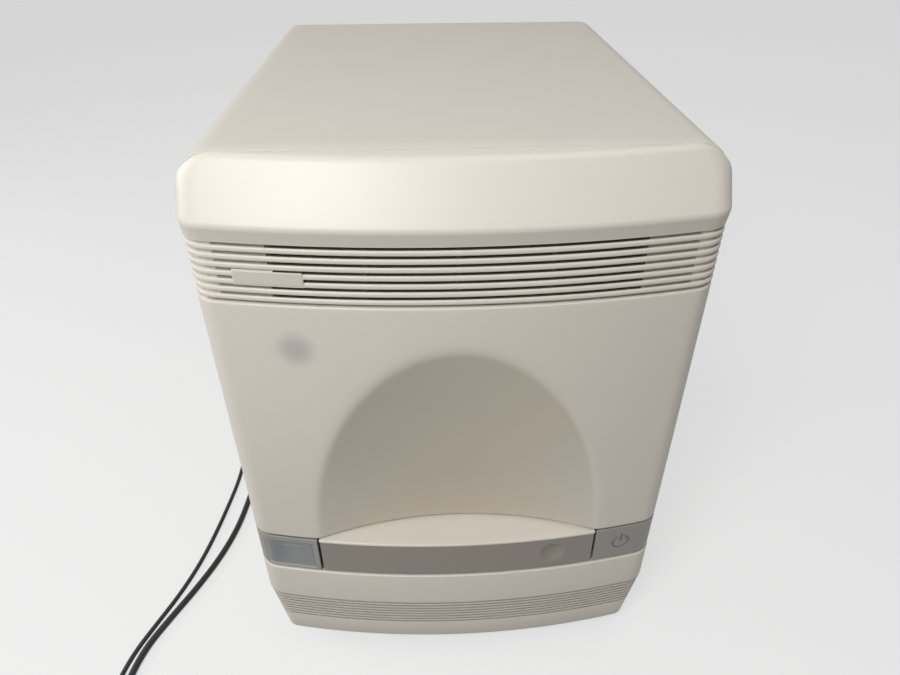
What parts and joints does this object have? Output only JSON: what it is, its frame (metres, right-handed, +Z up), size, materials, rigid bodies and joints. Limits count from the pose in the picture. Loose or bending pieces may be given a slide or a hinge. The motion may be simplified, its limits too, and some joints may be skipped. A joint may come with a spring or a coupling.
{
  "type": "real-time PCR system",
  "caption": "Bench-top real-time PCR instrument with a plate drawer, thermal block, heated lid, lamp, filter wheels, camera and hinged front door.",
  "frame": {"origin": "middle of the footprint on the bench, without the cords", "axes": "+X to the right seen from the front, +Y to the back, +Z up"},
  "size_m": [0.4982, 0.7545, 0.49],
  "materials": {
    "case_plastic": "fine satin texture",
    "frame_plastic": "fine satin texture",
    "cover_paint": "satin powder coat",
    "drawer_plastic": "satin",
    "key_plastic": "satin",
    "window_plastic": "translucent smoked",
    "foam": "open-cell filter foam",
    "bright_steel": "ground",
    "zinc_sheet": "zinc-plated sheet",
    "foot_rubber": "matt",
    "black_plastic": "satin",
    "circuit_board": "solder resist",
    "black_aluminium": "black anodised",
    "silver_aluminium": "machined",
    "white_ceramic": "fired ceramic",
    "motor_paint": "black enamel",
    "clear_glass": "coated optical glass",
    "lever_plastic": "satin",
    "cord_vinyl": "smooth vinyl",
    "data_vinyl": "smooth vinyl"
  },
  "bodies": {
    "case": {"front_bezel": "case_plastic", "intake_filter": "foam", "top_cover": "cover_paint", "rear_screws": "bright_steel", "rear_panel": "zinc_sheet", "base_pan": "zinc_sheet", "feet": "foot_rubber", "front_skirt": "case_plastic", "front_frame": "zinc_sheet", "door_pins": "bright_steel", "door_magnet": "black_plastic", "status_panel": "frame_plastic", "status_lens": "window_plastic", "status_board": "circuit_board", "power_switch": "black_plastic", "drawer_guides": "zinc_sheet", "drawer_latch": "black_plastic", "chassis_sides": "zinc_sheet", "block_deck": "zinc_sheet", "optics_deck": "zinc_sheet", "sample_block": "silver_aluminium", "thermal_tiles": "white_ceramic", "heat_sink": "silver_aluminium", "block_fan_frame": "black_plastic", "exhaust_fan_frame": "black_plastic", "guide_posts": "bright_steel", "lift_motor": "motor_paint", "light_shroud": "black_aluminium", "field_lens": "clear_glass", "optics_housing": "black_aluminium", "beam_splitter": "clear_glass", "filter_motors": "motor_paint", "camera": "black_aluminium", "lamp_housing": "zinc_sheet", "lamp": "clear_glass", "power_supply": "zinc_sheet", "control_board": "circuit_board", "power_inlet": "black_plastic", "mains_connector": "cord_vinyl", "mains_lead": "cord_vinyl", "mains_coil": "cord_vinyl", "mains_plug": "cord_vinyl", "data_connector": "data_vinyl", "data_cable": "data_vinyl", "data_coil": "data_vinyl", "data_plug": "data_vinyl"},
    "door": {"access_door": "case_plastic"},
    "drawer": {"drawer_front": "drawer_plastic", "plate_carriage": "black_aluminium", "drawer_runners": "bright_steel"},
    "power_key": {"power_button": "key_plastic"},
    "block_fan": {"block_fan_rotor": "black_plastic"},
    "exhaust_fan": {"exhaust_fan_rotor": "black_plastic"},
    "heated_lid": {"heated_plate": "silver_aluminium", "lid_carrier": "silver_aluminium"},
    "lid_screw": {"lift_screw": "bright_steel"},
    "emission_filters": {"emission_wheel": "black_aluminium"},
    "excitation_filters": {"excitation_wheel": "black_aluminium"},
    "lamp_release": {"lamp_lever": "lever_plastic"}
  },
  "joints": [
    {"name": "drawer_slide", "type": "slide", "parent": "case", "child": "drawer", "axis": [0, -1, 0], "range_m": [0, 0.175]},
    {"name": "door_hinge", "type": "hinge", "parent": "case", "child": "door", "pos_m": [-0.166, -0.198, 0.281], "axis": [0, 0, -1], "range_deg": [0, 110]},
    {"name": "power_press", "type": "slide", "parent": "case", "child": "power_key", "axis": [0, 1, 0], "range_m": [0, 0.0015], "stiffness_N_per_m": 900, "springref_m": -0.001},
    {"name": "block_fan_spin", "type": "hinge", "parent": "case", "child": "block_fan", "pos_m": [0, -0.025, 0.0603], "axis": [0, 1, 0], "continuous": true},
    {"name": "exhaust_fan_spin", "type": "hinge", "parent": "case", "child": "exhaust_fan", "pos_m": [0.06, 0.207, 0.33], "axis": [0, 1, 0], "continuous": true},
    {"name": "lid_lift", "type": "slide", "parent": "case", "child": "heated_lid", "axis": [0, 0, 1], "range_m": [-0.014, 0]},
    {"name": "lid_screw_turn", "type": "hinge", "parent": "case", "child": "lid_screw", "pos_m": [0, -0.02, 0.19], "axis": [0, 0, 1], "range_deg": [-10, 640]},
    {"name": "emission_wheel_turn", "type": "hinge", "parent": "case", "child": "emission_filters", "pos_m": [0.036, -0.095, 0.39], "axis": [0, 0, 1], "continuous": true},
    {"name": "excitation_wheel_turn", "type": "hinge", "parent": "case", "child": "excitation_filters", "pos_m": [-0.036, -0.147, 0.342], "axis": [0, 1, 0], "continuous": true},
    {"name": "lamp_lever_turn", "type": "hinge", "parent": "case", "child": "lamp_release", "pos_m": [0.0235, -0.175, 0.342], "axis": [1, 0, 0], "range_deg": [0, 60]}
  ],
  "couplings": [
    {"joint": "lid_screw_turn", "follows": "lid_lift", "rad_per_m": -785.4}
  ]
}
